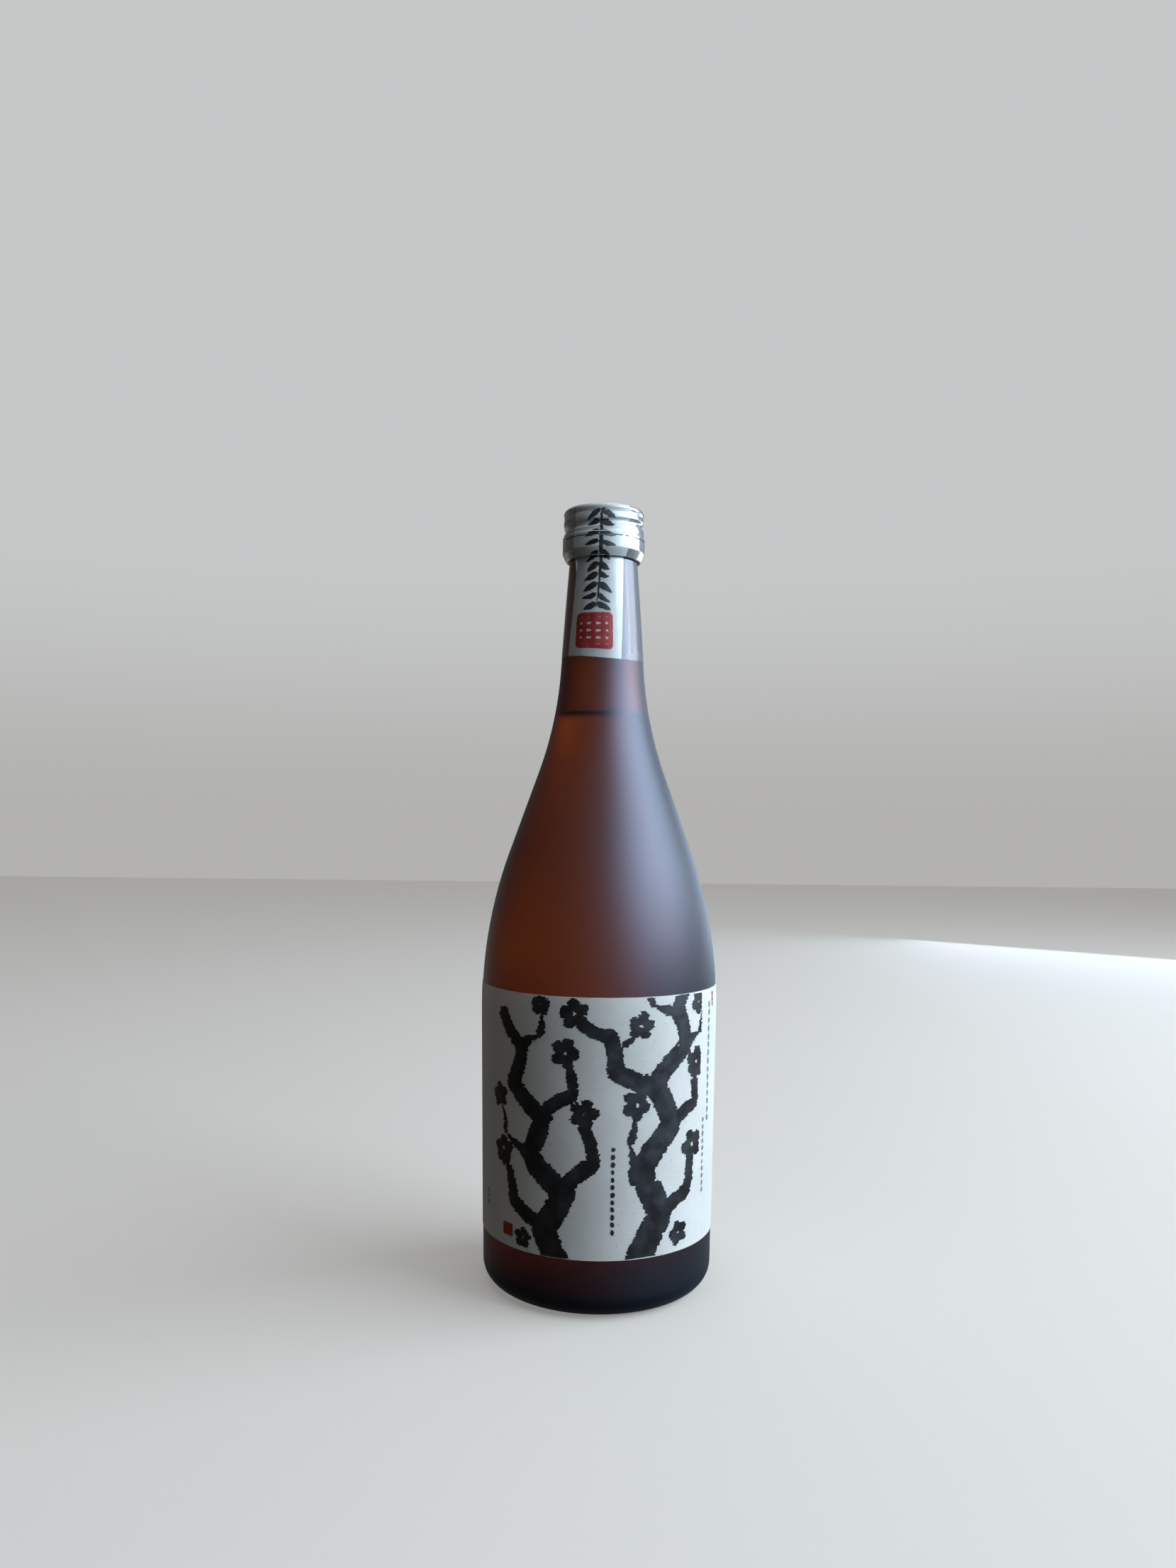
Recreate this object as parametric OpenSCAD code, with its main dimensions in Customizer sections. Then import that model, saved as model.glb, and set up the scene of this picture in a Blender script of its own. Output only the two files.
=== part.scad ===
// Sake bottle with a roll-on screw cap: frosted glass, wrap-around label,
// clear shrink film over the cap and neck. Millimetres, +Z up, origin at
// the centre of the base, front of the bottle towards -Y.

/* [Body] */
// Diameter at the widest point, just under the shoulder
body_d = 84.2; // [66:0.1:110]
// Height of the widest point above the table
widest_z = 98.3; // [70:0.1:140]
// Outward lean of the body wall from the heel up, in degrees
body_lean = 1; // [0:0.1:2]
// Rounding of the heel
heel_r = 7.5; // [5:0.1:10]
// Thickness of the glass wall
wall = 2.9; // [2:0.1:4]
// Thickness of the base at the ring it stands on
base_t = 4.5; // [3.5:0.1:8]
// Rise of the hollow under the base
punt_h = 3; // [1:0.1:8]
// Width of the flat ring the bottle stands on
bearing_w = 2; // [1:0.1:4]
// Rounding inside the bottle where wall and floor meet
floor_r = 9; // [5:0.1:14]

/* [Shoulder and neck] */
// Radius of the long shoulder curve
shoulder_r = 159; // [100:1:200]
// Lean of the straight slope above the shoulder, in degrees from upright
slope_lean = 19.5; // [16:0.1:24]
// Radius of the hollow curve between slope and neck
hollow_r = 138; // [60:1:170]
// Lean of the neck wall, in degrees from upright
neck_lean = 4.1; // [1:0.1:6]
// Neck length, from where the lines of slope and neck cross up to the finish
neck_len = 58.2; // [45:0.1:75]
// Neck diameter just under the finish
neck_d = 24.7; // [22:0.1:28]

/* [Finish] */
// Bore of the mouth
bore_d = 19; // [15:0.1:22]
// Length of the parallel bore, down from the lip
bore_len = 19; // [14:0.1:26]
// Diameter of the finish between its threads
root_d = 25.8; // [24:0.1:31]
// Rounding of the lip
lip_r = 1.1; // [0.5:0.1:1.3]
// How far the thread stands out
thread_h = 0.85; // [0.6:0.05:1.2]
// Rise of the thread in one turn
pitch = 4.2; // [3.5:0.1:5]
// Turns of thread on the glass
thread_turns = 1.5; // [1:0.1:1.7]
// From the lip down to the middle of the thread's upper end
thread_drop = 2.1; // [1.8:0.1:3]
// How far the locking ring stands out past the root
ring_step = 1.5; // [1.2:0.1:2]
// Height of the locking ring's flat face
ring_h = 2.4; // [1.5:0.1:3]
// From the lip down to the middle of the locking ring
ring_drop = 13.4; // [13:0.1:16]
// Height of the plain collar between the locking ring and the neck
collar_h = 1.85; // [1:0.05:4]

/* [Cap] */
// Thickness of the aluminium
cap_t = 0.25; // [0.2:0.01:0.4]
// Thickness of the sealing liner
liner_t = 0.95; // [0.6:0.05:1.5]
// Gap all round between the liner and the cap wall
liner_side_gap = 0.6; // [0.4:0.05:1]
// Bevel of the liner's upper edge
liner_bevel = 0.4; // [0.3:0.05:0.5]
// Gap above and below the liner
liner_gap = 0.05; // [0.02:0.01:0.1]
// Gap between the thread and the cap wall
cap_gap = 0.5; // [0.3:0.05:0.8]
// Gap between the locking ring and the band
band_gap = 0.2; // [0.1:0.05:0.4]
// Outer rounding of the cap's top edge
cap_edge_r = 1.3; // [0.8:0.1:2]
// From the lip down to the line where the band breaks off
score_drop = 10.1; // [9.8:0.1:11]
// Width of the cut between cap and band
score_gap = 0.35; // [0.2:0.05:0.6]
// Number of thin bridges across the cut
bridges = 10; // [6:1:16]
// Width of one bridge
bridge_w = 0.8; // [0.4:0.1:1.5]
// How far the band reaches down past the locking ring
tuck_h = 2.7; // [2.2:0.1:3.5]
// How far the band's lower edge is pressed in
tuck_in = 1.3; // [0.8:0.1:1.5]
// Depth of the rolled ring groove under the cap's top edge
groove_h = 0.25; // [0.1:0.05:0.3]
// Gap between the rolled thread and the root of the glass
rolled_gap = 0.35; // [0.2:0.05:0.6]
// Height of the rolled thread's groove at the wall
rolled_w = 3.1; // [2.4:0.1:3.3]
// From the cut up to the middle of the rolled thread's lower end
rolled_rise = 1.9; // [1.7:0.1:2.5]

/* [Film] */
// Thickness of the shrink film
film_t = 0.12; // [0.08:0.01:0.2]
// Gap between the film and what it covers
film_gap = 0.03; // [0.01:0.01:0.1]
// Length of the film below the lip
film_len = 52.8; // [40:0.1:70]
// Width of the film's turned-in edge on top of the cap
film_lip = 4.5; // [2:0.1:8]

/* [Label] */
// Height of the label's lower edge above the table
label_z = 19.8; // [14:0.1:30]
// Height of the label
label_h = 85.4; // [60:0.1:105]
// Part of the circle that the label covers, in degrees
label_wrap = 318; // [200:1:350]
// Thickness of the paper
label_t = 0.15; // [0.1:0.01:0.3]
// Glue line under the label
label_gap = 0.03; // [0.01:0.01:0.1]

/* [Hidden] */
$fn = 96;

body_r = body_d / 2;
neck_r = neck_d / 2;
root_r = root_d / 2;
bore_r = bore_d / 2;
crest_r = root_r + thread_h;
ring_r = root_r + ring_step;

// Centres of the three arcs of the outline. Any skin or wall is the same
// outline moved outwards by o, so its arcs keep these centres.
shoulder_c = [body_r - shoulder_r, widest_z];
heel_x = shoulder_c.x + shoulder_r * cos(body_lean)
    - (shoulder_c.y - shoulder_r * sin(body_lean) - heel_r * (1 - sin(body_lean))) * tan(body_lean)
    - heel_r * cos(body_lean);
heel_c = [heel_x, heel_r];

// Where the lines of slope and neck cross
cross_r = neck_r + neck_len * tan(neck_lean);
cross_z = shoulder_c.y + shoulder_r * sin(slope_lean)
    + (shoulder_c.x + shoulder_r * cos(slope_lean) - cross_r) / tan(slope_lean);
hollow_back = hollow_r * tan((slope_lean - neck_lean) / 2);
hollow_c = [cross_r + hollow_back * sin(slope_lean) + hollow_r * cos(slope_lean),
    cross_z - hollow_back * cos(slope_lean) + hollow_r * sin(slope_lean)];

neck_top_z = cross_z + neck_len;
lip_z = neck_top_z + collar_h + (ring_r - neck_r) + ring_h / 2 + ring_drop;
ring_z = lip_z - ring_drop;
score_z = lip_z - score_drop;
film_z = lip_z - film_len;

// Radius of the outline moved outwards by o, at height z
function heel_end_z(o) = heel_c.y - (heel_r + o) * sin(body_lean);
function shoulder_start_z(o) = shoulder_c.y - (shoulder_r + o) * sin(body_lean);
function shoulder_end_z(o) = shoulder_c.y + (shoulder_r + o) * sin(slope_lean);
function hollow_start_z(o) = hollow_c.y - (hollow_r - o) * sin(slope_lean);
function hollow_end_z(o) = hollow_c.y - (hollow_r - o) * sin(neck_lean);
function bulge(c, r, z) = c.x + sqrt(r * r - (z - c.y) * (z - c.y));
function hollow(c, r, z) = c.x - sqrt(r * r - (z - c.y) * (z - c.y));
function outline_r(z, o = 0) =
    z < heel_end_z(o) ? bulge(heel_c, heel_r + o, z)
    : z < shoulder_start_z(o) ? bulge(shoulder_c, shoulder_r + o, shoulder_start_z(o))
        + (z - shoulder_start_z(o)) * tan(body_lean)
    : z < shoulder_end_z(o) ? bulge(shoulder_c, shoulder_r + o, z)
    : z < hollow_start_z(o) ? bulge(shoulder_c, shoulder_r + o, shoulder_end_z(o))
        - (z - shoulder_end_z(o)) * tan(slope_lean)
    : z < hollow_end_z(o) ? hollow(hollow_c, hollow_r - o, z)
    : hollow(hollow_c, hollow_r - o, hollow_end_z(o)) - (z - hollow_end_z(o)) * tan(neck_lean);

// n + 1 points of an arc, counter-clockwise when a1 > a0
function arc(c, r, a0, a1, n) =
    [for (i = [0:n]) [c.x + r * cos(a0 + (a1 - a0) * i / n), c.y + r * sin(a0 + (a1 - a0) * i / n)]];

// A shallow dome of rise h, from the axis out to radius a, its rim at height z
function dome(a, h, z, n) =
    let (rho = (a * a + h * h) / (2 * h))
    [for (i = [0:n]) [a * i / n, z + h - rho + sqrt(rho * rho - pow(a * i / n, 2))]];

function reversed(p) = [for (i = [len(p) - 1:-1:0]) p[i]];

// The same path moved outwards by t
function widened(path, t) = [for (p = path) [p.x + t, p.y]];

// A skin of thickness t that lies at o on the outline, from z0 up to z1
function skin(o, t, z0, z1, n) = concat(
    [for (i = [0:n]) let (z = z0 + (z1 - z0) * i / n) [outline_r(z, o + t), z]],
    [for (i = [n:-1:0]) let (z = z0 + (z1 - z0) * i / n) [outline_r(z, o), z]]);

// A ridge that climbs a right-hand helix. The section is a trapezium from
// radius r_in to r_out, w_in and w_out high; it is turns long, centred on
// height z0 at its lower end, which stands at angle a0. Towards both ends the
// radius that end_side names runs over to the other one within run degrees.
function end_share(a, total, run) = min(1, a / run, (total - a) / run);
module helix_ridge(r_in, r_out, w_in, w_out, z0, a0, turns, run, sunk_out) {
    total = 360 * turns;
    steps = ceil(total / 7.5);
    ring = function (a)
        let (s = end_share(a, total, run))
        let (ri = sunk_out ? r_out - (r_out - r_in) * s : r_in)
        let (ro = sunk_out ? r_out : r_in + (r_out - r_in) * s)
        let (z = z0 + pitch * a / 360)
        [for (q = [[ri, -w_in / 2], [ro, -w_out / 2], [ro, w_out / 2], [ri, w_in / 2]])
            [q[0] * cos(a0 + a), q[0] * sin(a0 + a), z + q[1]]];
    points = [for (i = [0:steps]) let (a = 0.4 + (total - 0.8) * i / steps) each ring(a)];
    sides = [for (i = [0:steps - 1], j = [0:3])
        let (b = 4 * i, k = (j + 1) % 4)
        each [[b + j, b + k, b + 4 + k], [b + j, b + 4 + k, b + 4 + j]]];
    ends = [[3, 2, 1, 0], [for (j = [0:3]) 4 * steps + j]];
    polyhedron(points, concat(sides, ends), convexity = 6);
}

// Glass: base, wall, neck and finish
lip_round = min(lip_r, (root_r - bore_r) / 3);
floor_c = [outline_r(base_t + floor_r, -wall) - floor_r * cos(body_lean), base_t + floor_r];
bearing_r = heel_c.x - bearing_w;
thread_z = lip_z - thread_drop - thread_turns * pitch;
thread_a = -168.6;
function glass_outside() = concat(
    dome(bearing_r, punt_h, 0, 12),
    arc(heel_c, heel_r, -90, -body_lean, 12),
    arc(shoulder_c, shoulder_r, -body_lean, slope_lean, 24),
    arc(hollow_c, hollow_r, 180 + slope_lean, 180 + neck_lean, 16),
    [[neck_r, neck_top_z],
     [neck_r, ring_z - ring_h / 2 - (ring_r - neck_r)],
     [ring_r, ring_z - ring_h / 2],
     [ring_r, ring_z + ring_h / 2],
     [root_r, ring_z + ring_h / 2 + ring_step]],
    arc([root_r - lip_round, lip_z - lip_round], lip_round, 0, 90, 6));
function glass_inside() = concat(
    arc([bore_r + lip_round, lip_z - lip_round], lip_round, 90, 180, 6),
    [[bore_r, lip_z - bore_len],
     [outline_r(lip_z - bore_len - 2, -wall), lip_z - bore_len - 2]],
    arc(hollow_c, hollow_r + wall, 180 + neck_lean, 180 + slope_lean, 16),
    arc(shoulder_c, shoulder_r - wall, slope_lean, -body_lean, 24),
    arc(floor_c, floor_r, -body_lean, -90, 10),
    reversed(dome(floor_c.x, punt_h, base_t, 12)));
module glass_bottle() {
    color([0.36, 0.17, 0.09, 0.9]) {
        rotate_extrude() polygon(concat(glass_outside(), glass_inside()));
        helix_ridge(root_r - 0.3, crest_r, 2.4, 0.9, thread_z, thread_a, thread_turns, 35, false);
    }
}

// Paper label, open at the back
module label() {
    color([0.93, 0.92, 0.88])
    rotate(270 - label_wrap / 2)
    rotate_extrude(angle = label_wrap)
    polygon(skin(label_gap, label_t, label_z, label_z + label_h, 16));
}

// Roll-on cap: top, side with a ring groove and a rolled thread, flared edge
cap_r = crest_r + cap_gap + cap_t;
band_r = ring_r + band_gap + cap_t;
liner_z = lip_z + liner_gap;
cap_top_z = liner_z + liner_t + liner_gap + cap_t;
cap_low_z = score_z + score_gap / 2;
groove_z = cap_top_z - cap_edge_r - 4 * groove_h;
flare_z = cap_low_z + 0.8;
rolled_z = score_z + rolled_rise;
rolled_a = thread_a + 360 * ((rolled_z - thread_z) / pitch + 0.5);
rolled_turns = (groove_z - 3 * groove_h - rolled_w / 2 - rolled_z) / pitch;
function cap_side(r) = [
    [r, cap_top_z - cap_edge_r - groove_h],
    [r - groove_h, groove_z + groove_h],
    [r - groove_h, groove_z - groove_h],
    [r, groove_z - 3 * groove_h],
    [r, flare_z + 1.6],
    [r + band_r - cap_r, flare_z],
    [r + band_r - cap_r, cap_low_z]];
module cap_wall() {
    edge_c = [cap_r - cap_edge_r, cap_top_z - cap_edge_r];
    rotate_extrude() polygon(concat(
        [[0, cap_top_z - cap_t]],
        arc(edge_c, cap_edge_r - cap_t, 90, 0, 6),
        cap_side(cap_r - cap_t),
        reversed(cap_side(cap_r)),
        arc(edge_c, cap_edge_r, 0, 90, 6),
        [[0, cap_top_z]]));
}
module cap_shell() {
    floor_of_roll = root_r + rolled_gap;
    color([0.82, 0.83, 0.85])
    difference() {
        union() {
            cap_wall();
            helix_ridge(floor_of_roll, cap_r - cap_t / 2, 1.3, rolled_w, rolled_z, rolled_a, rolled_turns, 40, true);
        }
        helix_ridge(floor_of_roll + cap_t, cap_r + 0.4, 0.8, rolled_w, rolled_z, rolled_a, rolled_turns, 40, true);
    }
}

// Foam disc pressed on the lip
module cap_liner() {
    liner_r = cap_r - cap_t - liner_side_gap;
    color([0.94, 0.94, 0.92])
    translate([0, 0, liner_z]) {
        cylinder(h = liner_t - liner_bevel, r = liner_r);
        translate([0, 0, liner_t - liner_bevel])
        cylinder(h = liner_bevel, r1 = liner_r, r2 = liner_r - liner_bevel);
    }
}

// Tamper band: gripped under the locking ring, left on the neck when the cap
// comes off, with the stubs of its bridges
band_top_z = score_z - score_gap / 2;
tuck_z = ring_z - ring_h / 2;
function band_side(r) = [
    [r, band_top_z],
    [r, tuck_z + 0.3],
    [r - 0.3, tuck_z - 0.6],
    [r - tuck_in, tuck_z - tuck_h]];
module pilfer_band() {
    color([0.80, 0.81, 0.83])
    union() {
        rotate_extrude() polygon(concat(band_side(band_r), reversed(band_side(band_r - cap_t))));
        for (i = [0:bridges - 1])
            rotate(i * 360 / bridges + 11)
            translate([band_r - cap_t + 0.02, -bridge_w / 2, band_top_z - 0.2])
            cube([cap_t - 0.04, bridge_w, score_gap + 0.15]);
    }
}

// Clear shrink film over the cap, torn off with it along the cut
module film_cap() {
    edge_c = [cap_r - cap_edge_r, cap_top_z - cap_edge_r];
    film_in = cap_edge_r + film_gap;
    side = [
        [cap_r + film_gap, flare_z + 1.6],
        [band_r + film_gap, flare_z],
        [band_r + film_gap, cap_low_z]];
    color([0.92, 0.93, 0.94, 0.35])
    rotate_extrude() polygon(concat(
        [[edge_c.x - film_lip, cap_top_z + film_gap]],
        arc(edge_c, film_in, 90, 0, 8),
        side,
        reversed(widened(side, film_t)),
        arc(edge_c, film_in + film_t, 0, 90, 8),
        [[edge_c.x - film_lip, cap_top_z + film_gap + film_t]]));
}

// The rest of the film, shrunk on the band and the neck
module film_neck() {
    steps = 14;
    side = concat(
        [for (p = band_side(band_r)) [p.x + film_gap, p.y]],
        [for (i = [0:steps])
            let (z = neck_top_z - 0.6 - (neck_top_z - 0.6 - film_z) * i / steps)
            [outline_r(z, film_gap), z]]);
    color([0.92, 0.93, 0.94, 0.35])
    rotate_extrude() polygon(concat(side, reversed(widened(side, film_t))));
}

glass_bottle();
label();
cap_shell();
cap_liner();
pilfer_band();
film_cap();
film_neck();
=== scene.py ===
import math
import bmesh
import bpy
import numpy as np
from mathutils import Matrix, Vector, noise


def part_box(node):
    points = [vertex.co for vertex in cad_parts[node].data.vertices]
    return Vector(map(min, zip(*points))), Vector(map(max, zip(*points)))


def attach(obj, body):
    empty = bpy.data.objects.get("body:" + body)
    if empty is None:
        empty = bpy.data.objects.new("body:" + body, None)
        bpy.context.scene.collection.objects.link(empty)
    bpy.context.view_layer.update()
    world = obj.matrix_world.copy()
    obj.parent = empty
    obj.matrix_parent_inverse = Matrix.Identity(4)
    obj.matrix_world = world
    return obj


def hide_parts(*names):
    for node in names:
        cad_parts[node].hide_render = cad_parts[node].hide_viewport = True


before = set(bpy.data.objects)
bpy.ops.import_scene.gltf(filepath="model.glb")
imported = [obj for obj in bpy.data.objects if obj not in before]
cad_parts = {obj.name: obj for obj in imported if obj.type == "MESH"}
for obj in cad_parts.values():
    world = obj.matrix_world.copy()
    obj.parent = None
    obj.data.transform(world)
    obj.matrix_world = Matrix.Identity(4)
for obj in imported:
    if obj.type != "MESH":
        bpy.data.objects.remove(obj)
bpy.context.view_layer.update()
mm = 0.001

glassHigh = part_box("glass_bottle")[1]
labelLow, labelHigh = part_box("label")
capLow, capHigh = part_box("cap_shell")
linerLow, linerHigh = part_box("cap_liner")
filmLow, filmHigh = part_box("film_neck")


# material helpers

def newMaterial(name):
    material = bpy.data.materials.new(name)
    material.use_nodes = True
    tree = material.node_tree
    return material, tree, tree.nodes["Principled BSDF"]


def node(tree, kind, settings=None, **inputs):
    made = tree.nodes.new(kind)
    for key, value in (settings or {}).items():
        setattr(made, key, value)
    for key, value in inputs.items():
        made.inputs[key.replace("_", " ")].default_value = value
    return made


def objectCoords(tree, scale=(1, 1, 1)):
    coord = tree.nodes.new("ShaderNodeTexCoord")
    mapping = node(tree, "ShaderNodeMapping", Scale=scale)
    tree.links.new(coord.outputs["Object"], mapping.inputs["Vector"])
    return mapping.outputs["Vector"]


def noiseTexture(tree, vector, scale, detail=3, roughness=0.5, distortion=0.0):
    made = node(tree, "ShaderNodeTexNoise", Scale=scale, Detail=detail, Roughness=roughness,
                Distortion=distortion)
    tree.links.new(vector, made.inputs["Vector"])
    return made.outputs["Fac"]


def spread(tree, value, low, high, outLow, outHigh, soft=False):
    made = node(tree, "ShaderNodeMapRange", {"interpolation_type": "SMOOTHSTEP" if soft else "LINEAR"},
                From_Min=low, From_Max=high, To_Min=outLow, To_Max=outHigh)
    tree.links.new(value, made.inputs["Value"])
    return made.outputs["Result"]


def combine(tree, operation, *values):
    made = node(tree, "ShaderNodeMath", {"operation": operation})
    for socket, value in zip(made.inputs, values):
        if isinstance(value, (int, float)):
            socket.default_value = value
        else:
            tree.links.new(value, socket)
    return made.outputs[0]


def mixShaders(tree, factor, first, second):
    made = tree.nodes.new("ShaderNodeMixShader")
    if isinstance(factor, float):
        made.inputs["Fac"].default_value = factor
    else:
        tree.links.new(factor, made.inputs["Fac"])
    tree.links.new(first.outputs[0], made.inputs[1])
    tree.links.new(second.outputs[0], made.inputs[2])
    return made


def blendColours(tree, factor, first, second):
    made = node(tree, "ShaderNodeMix", {"data_type": "RGBA"})
    for socket, value in (("A", first), ("B", second)):
        if isinstance(value, tuple):
            made.inputs[socket].default_value = (*value, 1)
        else:
            tree.links.new(value, made.inputs[socket])
    tree.links.new(factor, made.inputs["Factor"])
    return made.outputs["Result"]


def addBump(tree, shader, height, strength, distance):
    made = node(tree, "ShaderNodeBump", Strength=strength, Distance=distance)
    tree.links.new(height, made.inputs["Height"])
    tree.links.new(made.outputs["Normal"], shader.inputs["Normal"])


# camera and light

camera = {
    "spot": (-4.8, -419.6, 164.0),  # millimetres, the bottle stands at the origin
    "tiltUp": 1.67,
    "roll": 0.61,
    "lens": 26.43,
}
lights = {
    # azimuth 0 is in front of the bottle and 90 on its right; degrees, metres and watts
    "window": {"azimuth": 81.5, "height": 0.75, "distance": 1.15, "size": (1.46, 0.87),
               "power": 31, "colour": (0.74, 0.88, 1.0)},
    "glint": {"azimuth": 69, "height": 0.75, "distance": 1.15, "size": (1.3, 0.87),
              "power": 17, "colour": (0.20, 0.55, 1.0), "glossOnly": True},
    "sideWall": {"azimuth": 142, "height": 0.20, "distance": 1.2, "size": (0.75, 0.38),
                 "power": 2.6, "colour": (0.62, 0.80, 1.0)},
    "doorway": {"azimuth": 41, "height": 0.75, "distance": 1.15, "size": (0.62, 0.87),
                "power": 3.3, "colour": (0.70, 0.86, 1.0)},
    "doorGlint": {"azimuth": 41, "height": 0.75, "distance": 1.15, "size": (0.62, 0.87),
                  "power": 6.4, "colour": (0.72, 0.84, 1.0), "glossOnly": True},
    "slit": {"azimuth": 80, "height": 0.70, "distance": 1.0, "size": (0.05, 0.9),
             "power": 4.0, "colour": (0.90, 0.95, 1.0), "glossOnly": True},
    "slitBack": {"azimuth": 116, "height": 0.70, "distance": 1.0, "size": (0.04, 0.9),
                 "power": 1.4, "colour": (0.85, 0.93, 1.0), "glossOnly": True},
}
lightAim = Vector((0, 0, 0.15))
room = {
    "seen": (0.56, 0.57, 0.575), "horizon": (0.45, 0.445, 0.435),  # what the camera sees behind the bottle
    "glow": (0.034, 0.030, 0.025), "backWall": (0.44, 0.41, 0.36), "ceiling": (1.15, 1.18, 1.20),
}


def makeCamera():
    data = bpy.data.cameras.new("viewCamera")
    data.lens = camera["lens"]
    data.clip_start = 0.01
    obj = bpy.data.objects.new("viewCamera", data)
    bpy.context.scene.collection.objects.link(obj)
    tilt = Matrix.Rotation(math.radians(90 + camera["tiltUp"]), 4, "X")
    roll = Matrix.Rotation(math.radians(camera["roll"]), 4, "Z")
    obj.matrix_world = Matrix.Translation(Vector(camera["spot"]) * mm) @ tilt @ roll
    bpy.context.scene.camera = obj


def makeLight(name, spec):
    data = bpy.data.lights.new(name, "AREA")
    data.shape = "RECTANGLE"
    data.size, data.size_y = spec["size"]
    data.energy = spec["power"]
    data.color = spec["colour"]
    obj = bpy.data.objects.new(name, data)
    bpy.context.scene.collection.objects.link(obj)
    obj.visible_diffuse = not spec.get("glossOnly", False)
    angle = math.radians(spec["azimuth"])
    place = Vector((math.sin(angle) * spec["distance"], -math.cos(angle) * spec["distance"], spec["height"]))
    turn = (lightAim - place).to_track_quat("-Z", "Y").to_matrix().to_4x4()
    obj.matrix_world = Matrix.Translation(place) @ turn


def makeWorld():
    world = bpy.data.worlds.new("softRoom")
    bpy.context.scene.world = world
    world.use_nodes = True
    tree = world.node_tree
    tree.nodes.clear()
    coord = tree.nodes.new("ShaderNodeTexCoord")
    split = tree.nodes.new("ShaderNodeSeparateXYZ")
    tree.links.new(coord.outputs["Generated"], split.inputs[0])
    x, y, z = [split.outputs[axis] for axis in "XYZ"]
    lit = spread(tree, y, -0.25, 0.55, 0, 1, soft=True)  # the wall behind the bottle is lit by the window
    for dimming in (
            spread(tree, z, -0.22, 0.11, 1.2, 0.2),  # darker higher up
            spread(tree, z, -0.38, -0.10, 0.05, 1),  # dim below the table's edge
            spread(tree, x, -0.98, -0.40, 0.1, 1, soft=True)):  # dim on the far left
        lit = combine(tree, "MULTIPLY", lit, dimming)
    walls = blendColours(tree, lit, room["glow"], room["backWall"])
    around = blendColours(tree, spread(tree, z, 0.80, 0.95, 0, 1), walls, room["ceiling"])
    behind = blendColours(tree, spread(tree, z, 0, 0.22, 0, 1, soft=True), room["horizon"], room["seen"])
    glow = tree.nodes.new("ShaderNodeBackground")
    seen = tree.nodes.new("ShaderNodeBackground")
    tree.links.new(around, glow.inputs["Color"])
    tree.links.new(behind, seen.inputs["Color"])
    path = tree.nodes.new("ShaderNodeLightPath")
    mix = mixShaders(tree, path.outputs["Is Camera Ray"], glow, seen)
    out = tree.nodes.new("ShaderNodeOutputWorld")
    tree.links.new(mix.outputs[0], out.inputs["Surface"])


makeCamera()
for lightName, lightSpec in lights.items():
    makeLight(lightName, lightSpec)
makeWorld()
bpy.context.scene.view_settings.view_transform = "Standard"
bpy.context.scene.cycles.transparent_max_bounces = 24  # the films and the two walls of the glass
bpy.context.scene.cycles.transmission_bounces = 16
bpy.context.scene.cycles.max_bounces = 16
print("camera and light ready")


# mesh helpers

sharpAngle = math.radians(35)  # edges steeper than this stay crisp


def arc(centre, radius, start, end, count):
    angles = [math.radians(start + (end - start) * i / count) for i in range(count + 1)]
    return [(centre[0] + radius * math.cos(a), centre[1] + radius * math.sin(a)) for a in angles]


def between(first, last, count):
    # evenly spaced points on a line, both ends included
    run, rise = last[0] - first[0], last[1] - first[1]
    return [(first[0] + run * i / count, first[1] + rise * i / count) for i in range(count + 1)]


def easing(k, count):
    # rises softly from 0 to 1
    return 0.5 - 0.5 * math.cos(math.pi * k / count)


def lathe(path, steps=192, turn=360, start=0, closed=False):
    # path holds (radius, height) in millimetres; start 0 is the front, 90 the right side
    bm = bmesh.new()
    verts = [bm.verts.new((r * mm, 0, z * mm)) for r, z in path]
    edges = [bm.edges.new(pair) for pair in zip(verts, verts[1:])]
    if closed:
        edges.append(bm.edges.new((verts[-1], verts[0])))
    begin = Matrix.Rotation(math.radians(start - 90), 3, "Z")
    bmesh.ops.rotate(bm, cent=(0, 0, 0), matrix=begin, verts=verts)
    whole = turn == 360
    bmesh.ops.spin(bm, geom=verts + edges, cent=(0, 0, 0), axis=(0, 0, 1), dvec=(0, 0, 0),
                   angle=math.radians(turn), steps=steps, use_merge=whole, use_duplicate=False,
                   use_normal_flip=False)
    bmesh.ops.remove_doubles(bm, verts=bm.verts, dist=1e-7)
    if closed and not whole:
        rims = [e for e in bm.edges if e.is_boundary]
        bmesh.ops.edgeloop_fill(bm, edges=rims)
    bmesh.ops.recalc_face_normals(bm, faces=bm.faces)
    return bm


def turnOf(co):
    # angle round the bottle in degrees, 0 at the front and 90 on the right
    return math.degrees(math.atan2(co.x, -co.y))


def grow(vert, amount):
    # moves a vertex away from the bottle's axis by amount millimetres
    reach = math.hypot(vert.co.x, vert.co.y)
    if reach > 1e-6:
        vert.co.x += vert.co.x / reach * amount * mm
        vert.co.y += vert.co.y / reach * amount * mm


def reachOf(co):
    # distance from the bottle's axis in millimetres
    return math.hypot(co.x, co.y) / mm


def finishPiece(bm, name, material, body, replaced=(), smooth=True):
    mesh = bpy.data.meshes.new(name)
    for face in bm.faces:
        face.smooth = smooth
    for edge in bm.edges:
        edge.smooth = not (edge.is_manifold and edge.calc_face_angle(0) > sharpAngle)
    bm.to_mesh(mesh)
    bm.free()
    mesh.materials.append(material)
    piece = bpy.data.objects.new(name, mesh)
    bpy.context.scene.collection.objects.link(piece)
    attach(piece, body)
    if replaced:
        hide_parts(*replaced)
    print("made", name, len(mesh.polygons), "faces")
    return piece


# outline of the bottle, the same tangent arcs as the frame's

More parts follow.
